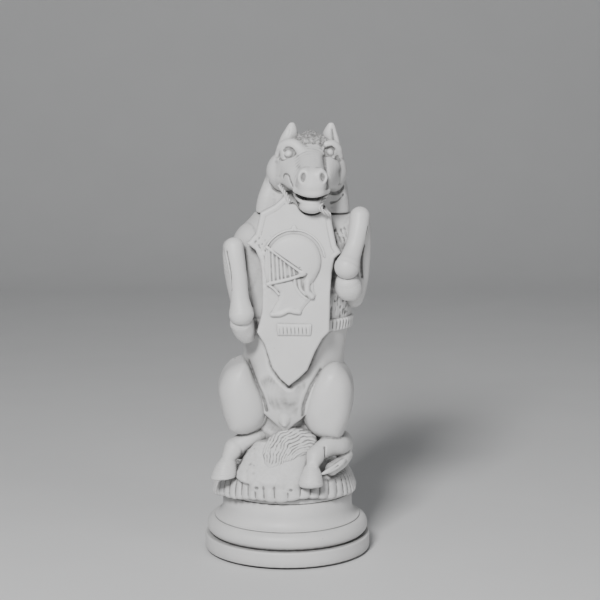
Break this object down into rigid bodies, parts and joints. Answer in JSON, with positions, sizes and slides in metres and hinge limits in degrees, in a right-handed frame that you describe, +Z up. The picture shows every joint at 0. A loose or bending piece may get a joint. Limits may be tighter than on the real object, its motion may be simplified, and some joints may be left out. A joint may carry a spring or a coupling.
{
  "type": "giant chess knight",
  "caption": "Garden chess knight cast in off-white resin: a horse sitting up on a turned round base, forelegs raised, holding a shield with a helmet relief.",
  "frame": {"origin": "middle of the plane that the rubber feet stand on, on the axis of the turned base", "axes": "+Z up; the horse looks along -Y; +X is the horse's own left"},
  "size_m": [0.23, 0.23, 0.5948],
  "materials": {
    "cast_resin": "satin cast polyresin, off-white, dirt-washed in the hollows",
    "foam": "rigid polyurethane foam, raw",
    "sand": "resin-bound sand, raw",
    "black_rubber": "matte moulded rubber",
    "grey_plastic": "moulded plastic, fine texture",
    "zinc_steel": "zinc-plated steel"
  },
  "bodies": {
    "figure": {"plinth": "cast_resin", "base_plate": "grey_plastic", "ballast_sand": "sand", "plate_screw_1": "zinc_steel", "plate_screw_2": "zinc_steel", "plate_screw_3": "zinc_steel", "plate_screw_4": "zinc_steel", "plate_screw_5": "zinc_steel", "plate_screw_6": "zinc_steel", "rubber_foot_1": "black_rubber", "rubber_foot_2": "black_rubber", "rubber_foot_3": "black_rubber", "rubber_foot_4": "black_rubber", "ground_disc": "cast_resin", "torso_front": "cast_resin", "torso_back": "cast_resin", "torso_core": "foam", "girth_band": "cast_resin", "shield": "cast_resin", "helmet_badge": "cast_resin", "wreath_bar": "cast_resin", "head_neck": "cast_resin", "lower_jaw": "cast_resin", "ear_right": "cast_resin", "ear_left": "cast_resin", "mane": "cast_resin", "rein_right": "cast_resin", "rein_left": "cast_resin", "foreleg_right": "cast_resin", "forehoof_right": "cast_resin", "foreleg_left": "cast_resin", "forehoof_left": "cast_resin", "hind_leg_right": "cast_resin", "hind_hoof_right": "cast_resin", "hind_leg_left": "cast_resin", "hind_hoof_left": "cast_resin", "tail": "cast_resin", "tie_rod": "zinc_steel", "tie_washer": "zinc_steel", "tie_nut_lower": "zinc_steel", "anchor_plate": "zinc_steel", "tie_nut_upper": "zinc_steel", "foreleg_pin_right": "zinc_steel", "foreleg_pin_left": "zinc_steel", "hind_leg_pin_right": "zinc_steel", "hind_leg_pin_left": "zinc_steel", "shield_peg_upper": "zinc_steel", "shield_peg_lower": "zinc_steel", "neck_dowel_right": "zinc_steel", "neck_dowel_left": "zinc_steel"},
    "seal": {"plug_seal": "black_rubber"},
    "plug": {"filler_plug": "grey_plastic"}
  },
  "joints": [
    {"name": "plug_lift", "type": "slide", "parent": "figure", "child": "seal", "axis": [0, 0, -1], "range_m": [0, 0.024]},
    {"name": "plug_turn", "type": "hinge", "parent": "seal", "child": "plug", "pos_m": [0, 0.062, 0.01], "axis": [0, 0, -1], "range_deg": [0, 2885]}
  ],
  "couplings": [
    {"joint": "plug_turn", "follows": "plug_lift", "rad_per_m": 2094.4}
  ]
}
